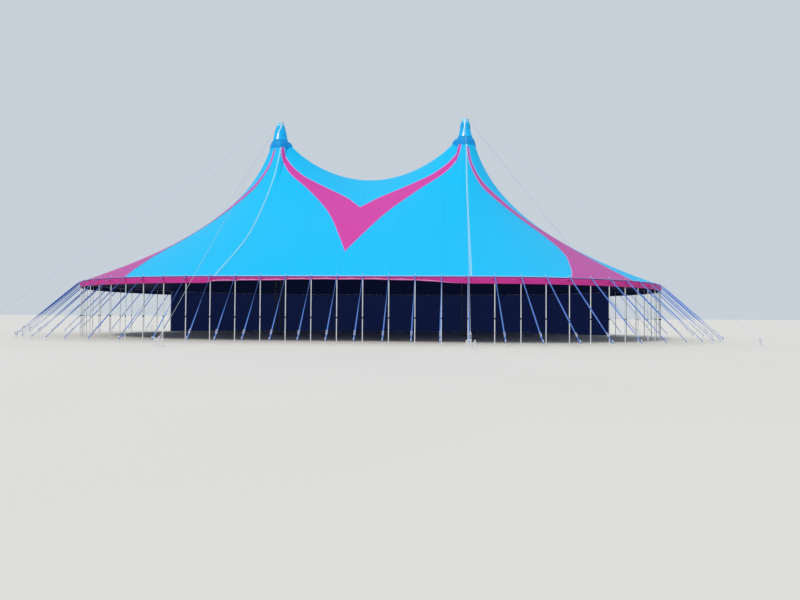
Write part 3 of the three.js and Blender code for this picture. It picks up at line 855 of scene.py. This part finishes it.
# A lashing strap from the pole head to a steel stake, with its ratchet a little above the ground
def strapTemplate(reach):
    start, end = np.array([0, -strap["topOut"], strap["top"]]), np.array([0, -reach, strap["foot"]])
    along = (end - start) / np.linalg.norm(end - start)
    side, up = np.array([1.0, 0, 0]), np.cross([1.0, 0, 0], along)
    up = up if up[2] > 0 else -up
    share = np.linspace(0, 1, strap["steps"])
    middle = np.concatenate([[[0, strap["eyeOut"], strap["eye"]]], start + (end - start) * share[:, None]])
    turn = np.radians(np.interp([0, *share], *zip(*strap["twist"])))[:, None]
    half = (side * np.cos(turn) + up * np.sin(turn)) * strap["width"] / 2
    uv = np.zeros((2, len(middle), 2))
    uv[..., 0] = runAlong(middle)
    uv[1, :, 1] = strap["width"]
    webbing = gridPiece("strapWebbing", np.stack([middle - half, middle + half]), uv)
    applyModifier(webbing, "SOLIDIFY", thickness=real(strap["thickness"]), offset=0)
    spot = start + (end - start) * (strap["top"] - ratchet["height"]) / (strap["top"] - strap["foot"])
    tilt = math.atan2(along[2], -along[1])
    tightener = ratchetPiece()
    tightener.data.transform(Matrix.Translation(real(*spot)) @ Matrix.Rotation(-tilt, 4, "X"))
    parts = [paint(webbing, strapBlue), tightener]
    for name, material, y in (("stake", galvanised, -reach), ("stakeLoop", strapBlue, -reach),
                              ("strapEye", brightZinc, sidePole["inset"])):
        parts.append(paint(turnedPiece(name, strap[name], strap["sides"], at=(0, y)), material))
    return join(parts, f"strapTemplate_{reach:.2f}")


templates = {}
for name in stretches:
    copies = []
    for line in polesWithin(name):
        reach = round(strapReach(line), 3)
        if reach not in templates:
            templates[reach] = strapTemplate(reach)
        copies.append(copiesOf(templates[reach], "strapCopy", [atLine(line)]))
    straps = join(copies, f"straps_{name}")
    finishPiece(straps, [f"guy_straps_{name}"])
remove(*templates.values())
print("straps and stakes")

# The valance hangs from the webbing. Along the middle of the front it is rolled up outwards and tied.
valance = {"cut": 0.325, "top": 3.5035, "out": 0.02, "sway": 0.018, "roll": 0.044, "thickness": 0.004,
           "rows": 14, "rolledRows": 26, "perBay": 16, "pleat": 0.03,
           "pleatBays": (-0.045, -0.025, -0.012, 0.0, 0.012, 0.025, 0.045),
           "tiedDepth": [(-5.2, 0.325), (-5.0, 0.25), (-4.7, 0.215), (-4.2, 0.208), (-3.75, 0.187),
                         (-2.2, 0.171), (-1.9, 0.13), (-0.5, 0.12), (0.4, 0.13), (1.2, 0.12), (2.1, 0.15),
                         (2.6, 0.166), (3.0, 0.16), (3.35, 0.203), (3.8, 0.23), (4.3, 0.29), (4.9, 0.325)],
           "lumps": [(0.16, 13.1, 0.4, 0), (0.12, 29.7, 2.0, 0)],
           "ripples": [(1.0, 9.1, 0.6, 0), (0.7, 15.7, 1.9, 0), (0.5, 26.3, 0.0, 0)],
           "drapeOut": 0.045,
           "drapes": [(1.7, 0.05, 0.1, 1.0), (0.75, 0.12, 0.08, 0.8), (3.4, 0.0, 0.16, 0.7)]}


# How far the cloth stands out and how deep it hangs at each place s down it, where it hangs to a depth
# and the rest is wound up into a roll
def rolledCloth(s, depth, tie, lines):
    spare = valance["cut"] - depth
    lumps = 1 + waves(valance["lumps"], lines)
    roll = np.minimum(valance["roll"] * lumps * (0.45 + 0.55 * np.clip(tie * 3.2, 0, 1)), 0.35 * spare) + 1e-4
    straight = depth - roll
    wound = np.maximum(s - straight, 0)
    tighten = 0.022 * roll
    turn = (roll - np.sqrt(np.maximum(roll ** 2 - 4 * tighten * wound, 0))) / (2 * tighten)
    radius = roll - 2 * tighten * turn
    return roll - radius * np.cos(turn), np.minimum(s, straight) + radius * np.sin(turn)


def valancePiece(name):
    low, high = stretches[name]
    lines = everyLine(low + 0.001, high - 0.001, valance["perBay"])
    pleats = [line + step for line in polesWithin(name) for step in valance["pleatBays"]]
    lines = np.unique(np.round(np.concatenate([lines, pleats]), 6))[:, None]
    rolled = name == "front"
    cut = valance["cut"]
    s = np.linspace(0, cut, valance["rolledRows" if rolled else "rows"] + 1)[None, :]
    tie = np.abs(lines - np.rint(lines))
    free = s / cut
    ripple = waves(valance["ripples"], lines)
    sway = valance["sway"] * (0.35 + ripple * 0.28) * free * np.minimum(4 * tie + 0.25, 1)
    drape = 0
    for steep, start, wide, deep in valance["drapes"]:
        for toLeft in (0, 1):
            across = toLeft + (1 - 2 * toLeft) * (lines - np.floor(lines))
            uneven = 0.7 + 0.3 * np.sin(np.floor(lines + 0.5) * 2.7 + steep + toLeft)
            fade = deep * np.exp(-across / 0.45) * uneven
            drape = drape + fade * np.exp(-((free - start - steep * across) / wide) ** 2)
    pleat = valance["pleat"] * np.exp(-(tie / 0.014) ** 2) * (0.4 + 0.6 * free)
    out = sway + valance["drapeOut"] * drape + pleat
    fall = s + 0 * lines
    if rolled:
        depth = np.interp(lines, *zip(*valance["tiedDepth"]))
        bunch = np.clip((cut - depth) / 0.08, 0, 1)
        rollOut, rollFall = rolledCloth(s, depth, tie, lines)
        out, fall = out * (1 - bunch) + rollOut, np.where(depth < cut - 0.002, rollFall, fall)
    rings = np.stack([endRadius + valance["out"] + np.maximum(out, 0), valance["top"] - fall], -1)
    x, y = edgePoint(lines, rings[..., 0])
    points = np.stack([x, y, rings[..., 1]], -1)
    uv = np.stack(np.broadcast_arrays(lines * plan["bayWidth"], s), -1)
    piece = gridPiece(f"valance_cloth_{name}", points, uv)
    faceTowards(piece, (*points[0, 0, :2], 0))
    # Rolled outwards, the front shows its pale inner side, which also paints the light along the roll
    paint(piece, valancePink, valanceInsidePaintedHighlight if rolled else blackoutNavy)
    thicken(piece, valance["thickness"], offset=0, lining=1)
    finishPiece(piece, [f"valance_{name}"])


for name in stretches:
    valancePiece(name)
print("valance")

# The side wall of blackout cloth, hung from the eave cable at the rear in three lengths
wall = {"stretches": {"back_right": (24.5, 35), "back": (35, 45), "back_left": (45, 55)}, "top": 3.49,
        "out": -0.044, "fold": 0.035, "hooksPerBay": 4, "thickness": 0.004, "perBay": 24, "sag": 0.02,
        "fullness": 1.05, "hem": 0.03, "rowsFrom": 0.15, "rows": 13, "headTape": 0.1}


def wallPiece(name):
    low, high = wall["stretches"][name]
    lines = everyLine(low + 0.001, high - 0.001, wall["perBay"])
    rows = np.linspace(wall["rowsFrom"], wall["top"] - wall["headTape"], wall["rows"])
    z = np.concatenate([[0.0, wall["hem"]], rows, [wall["top"]]])[None, :]
    share = z / wall["top"]
    wave = 0.5 + 0.5 * np.cos(lines * 2 * math.pi * wall["hooksPerBay"])[:, None]
    slow = (0.5 + 0.5 * np.sin(lines * 5.3 + 1.1 * np.sin(lines * 2.1)))[:, None]
    depth = wall["fold"] * (wave * (0.25 + 0.75 * share ** 3) * 0.5 + slow * (1 - share) * 0.8)
    sag = wall["sag"] * (1 - np.abs(np.cos(lines * math.pi * wall["hooksPerBay"])))[:, None]
    drop = sag * (share > 0.999)
    x, y = edgePoint(lines[:, None], endRadius + wall["out"] - depth)
    points = np.stack([x, y, np.broadcast_to(z - drop, x.shape)], -1)
    uv = np.stack(np.broadcast_arrays(lines[:, None] * plan["bayWidth"], z), -1)
    piece = gridPiece(f"side_wall_{name}", points, uv)
    faceTowards(piece, (*points[0, 0, :2], 0))
    paint(piece, wallNavy)
    thicken(piece, wall["thickness"])
    finishPiece(piece, [f"wall_{name}"])


for name in wall["stretches"]:
    wallPiece(name)
print("side wall")

# The cone sleeve on each mast head: a waisted cone with soft pleats, a neck drawn in by a cord, and a
# skirt that lies on the canopy. angle counts from straight ahead of the tent, turning to the right.
# hem is the skirt's reach at each bearing in degrees, from the tent's end round its front to its middle.
cap = {"cone": {-1: [(0.265, 16.06), (0.275, 15.95), (0.33, 15.75), (0.4, 15.5), (0.45, 15.28), (0.49, 15.05),
                     (0.53, 14.84), (0.555, 14.72), (0.54, 14.665)],
                1: [(0.265, 16.06), (0.275, 15.95), (0.325, 15.75), (0.372, 15.63), (0.376, 15.55),
                    (0.39, 15.3), (0.44, 15.05), (0.51, 14.84), (0.55, 14.72), (0.54, 14.665)]},
       "neck": 14.665, "top": 16.06, "coneRings": 30, "skirtRings": 10, "hemLift": 0.016, "sides": 112,
       "hem": [(-90, 0.8), (-60, 0.775), (-45, 0.77), (-30, 0.79), (-15, 0.82), (0, 0.86), (15, 0.88),
               (30, 0.84), (45, 0.77), (60, 0.725), (75, 0.755), (90, 0.95)],
       "pleats": [(0.5, 9, 0.6, 1.3), (0.35, 14, -1.1, -2.0), (0.25, 23, 2.0, 0)], "pleatDepth": 0.03,
       "pleatRun": 1.4,
       "wrinkles": [(0.6, 11, 0.4, 0), (0.5, 17, 1.7, 0), (0.3, 29, -0.8, 0)], "wrinkleDepth": 0.014,
       "thickness": 0.008, "collar": 15.84, "slitDepth": 0.012, "slitWidth": 0.008,
       "slits": {-1: ((0.05, 0.05, 15.96), (1.0, 0.95, 15.7)), 1: ((-1.15, -0.4, 15.36), (1.0, 0.85, 15.4))},
       "cord": 0.03, "cordSides": 6, "cordSteps": 48}


def slitDepth(side, phi, z):
    depth = 0 * z
    for high, low, foot in cap["slits"][side]:
        off = phi - high - (low - high) * (cap["top"] - z) / (cap["top"] - foot)
        off = (off + math.pi) % (2 * math.pi) - math.pi
        depth = depth + np.exp(-off ** 2 / cap["slitWidth"]) * (z > foot)
    return depth


# The place on the plan of a bearing round a mast. Bearings count from straight ahead of the tent.
def roundMast(side, phi, reach):
    return side * halfMast + reach * np.sin(phi), -reach * np.cos(phi)


def capPoints(side, angle, lift=0.0):
    dense = smoothLine(cap["cone"][side], cap["coneRings"])
    phi = angle[:, None]
    r, z = dense[None, :, 0] + 0 * phi, dense[None, :, 1] + 0 * phi
    down = np.clip((cap["top"] - z) / cap["pleatRun"], 0, 1)
    pleat = cap["pleatDepth"] * waves(cap["pleats"], phi, down, np.cos)
    r = r * (1 + pleat * (0.3 + 0.7 * down)) - cap["slitDepth"] * slitDepth(side, phi, z)
    t = np.linspace(0, 1, cap["skirtRings"] + 1)[None, 1:]
    neckReach, neckHeight = dense[-1]
    towardsMiddle = np.degrees(np.arctan2(-side * np.sin(phi), np.abs(np.cos(phi))))
    reach = np.interp(towardsMiddle, *zip(*cap["hem"]))
    wrinkle = cap["wrinkleDepth"] * waves(cap["wrinkles"], phi, 0, np.cos)
    skirt = neckReach + (reach - neckReach) * (1 - (1 - t) ** 1.7) + wrinkle * t
    hem = clothHeight(*roundMast(side, phi, reach)) + cap["hemLift"]
    under = clothHeight(*roundMast(side, phi, skirt)) + cap["hemLift"]
    billow = 0.01 * np.cos(13 * phi + 5 * t) * t * (1 - t)
    fall = np.maximum(neckHeight - (neckHeight - hem) * t ** 1.6 + billow, under)
    x, y = roundMast(side, phi, np.concatenate([r, skirt], 1) + lift)
    return np.stack([x, y, np.concatenate([z, fall], 1)], -1)


def capPiece(name, side):
    points = capPoints(side, np.linspace(0, 2 * math.pi, cap["sides"] + 1))
    uv = clothUv(points)
    piece = gridPiece(f"cone_sleeve_{name}", points, uv)
    closeTube(piece)
    paint(piece, sleeveBlue, sleeveSkirtPaintedShade, sleeveCollar, sleeveSlitPaintedShade)
    for face in piece.data.polygons:
        x, y, z = face.center / modelScale
        slit = slitDepth(side, np.float64(math.atan2(x - side * halfMast, -y)), np.float64(z))
        # Slit faces take the painted shade, faces below the neck the skirt's painted shade, faces above the
        # collar the pale collar
        face.material_index = 3 if slit > 0.5 else 2 if z > cap["collar"] else 1 if z < cap["neck"] else 0
    thicken(piece, cap["thickness"])
    finishPiece(piece, [f"mast_cap_{name}"])
    phi = np.linspace(0, 2 * math.pi, cap["cordSteps"], endpoint=False)
    reach = cap["cone"][side][-1][0] + cap["cord"] / 2
    ring = np.stack([*roundMast(side, phi, reach), 0 * phi + cap["neck"]], -1)
    tie = ropePiece(f"neck_cord_{name}", ring, cap["cord"] / 2, cap["cordSides"], around=True)
    smooth(paint(tie, neckRope), 60)
    finishPiece(tie)


closure = {-1: {"foot": -0.14, "shoulder": -0.08, "top": 0.74, "shoulderHeight": 15.2},
           1: {"foot": -0.33, "shoulder": -0.24, "top": -0.05, "shoulderHeight": 15.0},
           "wide": 0.08, "waist": 0.06, "narrow": 0.03, "bend": 0.06, "topGap": 0.02, "footGap": 0.05,
           "lift": 0.012, "thickness": 0.006, "rows": 34}


# The sleeve is closed by a white strip, wide below and narrow up to the head. Its white is also a
# painted highlight: the sun's glint down the front of the sleeve.
def closurePiece(name, side):
    spot = closure[side]
    z = np.linspace(cap["top"] - closure["topGap"], cap["neck"] + closure["footGap"], closure["rows"])
    shoulder, bend, narrow = spot["shoulderHeight"], closure["bend"], closure["narrow"]
    heights = [cap["neck"], shoulder - bend, shoulder + bend, cap["top"]]
    middle = np.interp(z, heights, [spot["foot"], spot["shoulder"], spot["shoulder"], spot["top"]])
    half = np.interp(z, heights, [closure["wide"], closure["waist"], narrow, narrow])
    radii, rises = (np.array(column) for column in zip(*cap["cone"][side]))
    radius = np.interp(-z, -rises, radii)
    points = []
    for across in np.linspace(-1, 1, 5):
        near = capPoints(side, middle + across * half / radius, closure["lift"])[:, :cap["coneRings"]]
        points.append([[np.interp(-height, -column[:, 2], column[:, n]) for n in (0, 1)] + [height]
                       for column, height in zip(near, z)])
    points = np.array(points)
    uv = clothUv(points)
    piece = paint(gridPiece(f"sleeve_closure_and_highlight_{name}", points, uv), closureWhitePaintedHighlight)
    faceTowards(piece, (0, -1, 0))
    thicken(piece, closure["thickness"])
    finishPiece(piece)


# A rope or wire through points, as a tube of few sides. uv runs along it and round it in metres.
def ropePiece(name, points, radius, sides, around=False):
    points = np.array(points, float)
    if around:
        points = np.concatenate([points, points[:1]])
    tangent = np.gradient(points, axis=0)
    if around:
        tangent[0] = tangent[-1] = points[1] - points[-2]
    tangent /= np.linalg.norm(tangent, axis=1)[:, None]
    first = np.cross(tangent[0], [0.0, 0.0, 1.0])
    if np.linalg.norm(first) < 1e-6:
        first = np.array([1.0, 0.0, 0.0])
    frames = []
    for t in tangent:
        first = first - t * first.dot(t)
        first /= np.linalg.norm(first)
        frames.append([first, np.cross(t, first)])
    frames = np.array(frames)
    turn = np.linspace(0, 2 * math.pi, sides + 1)
    across, over = frames[:, None, 0], frames[:, None, 1]
    tube = points[:, None] + (np.cos(turn)[:, None] * across + np.sin(turn)[:, None] * over) * radius
    uv = np.stack(np.broadcast_arrays(runAlong(points)[:, None], turn[None, :] * radius), -1)
    piece = gridPiece(name, tube, uv)
    closeTube(piece, ends=not around)
    return piece


# Braided or laid rope: strands that cross the rope at a slant. wave is the length of one strand's turn.
def laidRope(name, colour, shade, wave, metallic=0.0, roughness=0.7):
    material = startMaterial(name)
    strands = bandsOf(material, uvOf(material), "DIAGONAL", wave, Distortion=0.2)
    tint = mixOf(material, strands, linear(shade), linear(colour))
    return endMaterial(material, Base_Color=tint, Roughness=roughness, Metallic=metallic,
                       Normal=bumpOf(material, strands, 0.5, 0.002))


laceRope = laidRope("braidedPolyesterRopeWhite", "#E8FAFF", "#B4DCEA", 0.03)
neckRope = laidRope("braidedPolyesterRopeBlue", "#0C6FA8", "#08507C", 0.03)
wireRope = laidRope("strandedSteelWire", "#DDE3E8", "#B4BAC0", 0.02, metallic=0.2, roughness=0.45)
sleeveBlue = coatedCloth("coatedClothSleeveBlue", "#10BAF8", bump=0.35)
# The skirt below the neck is a deeper blue: painted shade on the skirt
sleeveSkirtPaintedShade = coatedCloth("coatedClothSkirtBluePaintedShade", "#0A98E2", bump=0.35)
sleeveCollar = coatedCloth("coatedClothCollarPale", "#8FDCFA", bump=0.35)
# The faces in the slits are dark: painted shade in the slits
sleeveSlitPaintedShade = coatedCloth("coatedClothPaintedShadeInSlit", "#0B5C94", bump=0.35)
# White of the sleeve's closure, also a painted highlight of the sun down the sleeve
closureWhitePaintedHighlight = coatedCloth("coatedClothWhiteAndPaintedHighlight", "#EEFAFF", soil=0.08)
for side, name in sideNames.items():
    capPiece(name, side)
    closurePiece(name, side)
print("cone sleeves")

# Where two lengths of the canopy meet in front of and behind each mast they are laced together: a flap
# under a zigzag rope
lacing = {"from": 0.83, "pitch": 0.16, "half": 0.042, "rope": 0.013, "lift": 0.03, "flapHalf": 0.062,
          "flapLift": 0.012, "flapThickness": 0.005, "flapRows": 130, "flapAhead": 0.06,
          "short": 0.03,
          "course": {-1: [(0.8, -6.74), (3.6, -6.73), (5.0, -6.69), (6.2, -6.63), (7.7, -6.53),
                          (9.2, -6.49), (11.0, -6.62), (13.4, -6.78)],
                     1: [(0.8, 7.08), (3.0, 7.09), (5.5, 7.12), (9.0, 7.15), (13.4, 7.16)]}}


# The laced line's distance along the ridge at each reach from it
def lacedAt(side, reach):
    reaches, places = zip(*lacing["course"][side])
    return np.interp(reach, reaches, places)


def lacingPieces(name, side, mirrorY):
    end = float(edgeReach(np.float64(mastLine))) - lacing["short"]
    count = int((end - lacing["from"]) / lacing["pitch"]) * 2
    reach = np.linspace(lacing["from"], end, count)
    zigzag = lacing["half"] * np.where(np.arange(count) % 2, 1, -1)
    knots = onCloth(lacedAt(side, reach) + zigzag, -reach * mirrorY, lacing["lift"])
    rope = ropePiece(f"lacing_rope_{name}", knots, lacing["rope"], 5)
    smooth(paint(rope, laceRope), 60)
    finishPiece(rope)
    along = np.linspace(lacing["from"] - lacing["flapAhead"], end, lacing["flapRows"])[None, :]
    across = np.linspace(-1, 1, 7)[:, None]
    x = lacedAt(side, along) + lacing["flapHalf"] * across
    points = onCloth(x, -along * mirrorY + 0 * across, lacing["flapLift"])
    uv = clothUv(points)
    flap = paint(gridPiece(f"lacing_flap_{name}", points, uv), flapBlue)
    faceTowards(flap, (0, 0, 1))
    thicken(flap, lacing["flapThickness"])
    finishPiece(flap)


flapBlue = coatedCloth("coatedClothPaleFlap", "#66DAFF")
for side in sideNames:
    for mirrorY in faceNames:
        lacingPieces(f"{sideNames[side]}_{faceNames[mirrorY]}", side, mirrorY)
print("lacing")

# The wire stays: from a ring plate on each mast head, over the canopy, to an anchor of three pegs
stay = {"bearings": (0, 54, 126, 180), "reach": 19.3, "radius": 0.008, "sides": 6, "steps": 24,
        "top": 16.1246, "topReach": 0.24, "foot": 0.3, "plate": (0.25, 0.15, 0.02), "plateBevel": 0.003,
        "ring": [(0.185, 16.0806), (0.25, 16.0806), (0.25, 16.1406), (0.185, 16.1406)], "ringSides": 32,
        "peg": [(0.025, 0.0), (0.025, 0.37), (0.038, 0.375), (0.04, 0.41), (0.03, 0.42)], "pegSides": 10,
        "pegSpacing": 0.18, "crossHalf": 0.2, "crossRadius": 0.016}

# The turnbuckle at the foot of a stay: two rods between two heads, and a threaded end in each head
screw = {"length": 0.7, "past": 0.05, "headIn": 0.15, "headHalf": 0.04, "headRadius": 0.02, "rodIn": 0.16,
         "rodOut": 0.028, "rodRadius": 0.009, "threadRadius": 0.013}


def turnBuckle(unit, end):
    foot, head = end - unit * screw["past"], end - unit * (screw["length"] + screw["past"])
    side = np.cross(unit, [0, 0, 1.0])
    side /= np.linalg.norm(side)
    inwards, half, thread = unit * screw["headIn"], side * screw["headHalf"], screw["threadRadius"]
    rods = [barPiece("screwRod", head + side * out + unit * screw["rodIn"],
                     foot + side * out - unit * screw["rodIn"], screw["rodRadius"], 6)
            for out in (-screw["rodOut"], screw["rodOut"])]
    for place in (head + inwards, foot - inwards):
        rods.append(barPiece("screwHead", place - half, place + half, screw["headRadius"], 8))
    rods.append(barPiece("screwThread", head, head + inwards, thread, 8))
    rods.append(barPiece("screwThread", foot - inwards, end, thread, 8))
    return rods


def anchorPiece():
    width, depth, height = stay["plate"]
    parts = [blockPiece("anchorPlate", (-width, -depth, 0), (width, depth, height), stay["plateBevel"])]
    for x in (-stay["pegSpacing"], 0, stay["pegSpacing"]):
        parts.append(turnedPiece("anchorPeg", stay["peg"], stay["pegSides"], at=(x, 0)))
    half, foot = stay["crossHalf"], stay["foot"]
    parts.append(barPiece("anchorCross", (-half, 0, foot), (half, 0, foot), stay["crossRadius"], 8))
    return join(parts, "anchor")


def stayPieces(name, side):
    mast = np.array([side * halfMast, 0.0, 0.0])
    parts, wires = [turnedPiece("stayRing", stay["ring"], stay["ringSides"], closed=False, at=mast[:2])], []
    for bearing in stay["bearings"]:
        turn = math.radians(bearing)
        outward = np.array([side * math.sin(turn), -math.cos(turn), 0.0])
        start = mast + outward * stay["topReach"] + [0, 0, stay["top"]]
        end = mast + outward * stay["reach"] + [0, 0, stay["foot"]]
        unit = (end - start) / np.linalg.norm(end - start)
        course = np.linspace(start, end - unit * screw["length"], stay["steps"])
        wires.append(ropePiece("stayWire", course, stay["radius"], stay["sides"]))
        parts.extend(turnBuckle(unit, end))
        anchor = anchorPiece()
        place = Matrix.Translation(real(*(mast + outward * stay["reach"])))
        anchor.data.transform(place @ Matrix.Rotation(side * turn, 4, "Z"))
        parts.append(anchor)
    for group, material, slot, pieces, degrees in (("wires", wireRope, "stay_rope", wires, 60),
                                                   ("fittings", galvanised, "galvanised_steel", parts, 40)):
        piece = join(pieces, f"stay_{group}_{name}")
        smooth(paint(piece, material), degrees)
        finishPiece(piece, [f"mast_stays_{name}"])


for side, name in sideNames.items():
    stayPieces(name, side)
print("stays")

# The steel of the masts keeps its own shape. Its zinc is darker and duller than the poles': painted
# shade for the masts inside the dark tent.
mastZincPaintedShade = zincSteel("galvanisedSteelPaintedShade", "#6A7076", 0.6, metallic=0.3, dull="#4C5156")
for name in sideNames.values():
    for node in (f"mast_{name}", f"mast_base_{name}", f"mast_head_{name}", f"canopy_ring_{name}"):
        paint(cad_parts[node], brightZinc if node.startswith("mast_head") else mastZincPaintedShade)
print("masts")
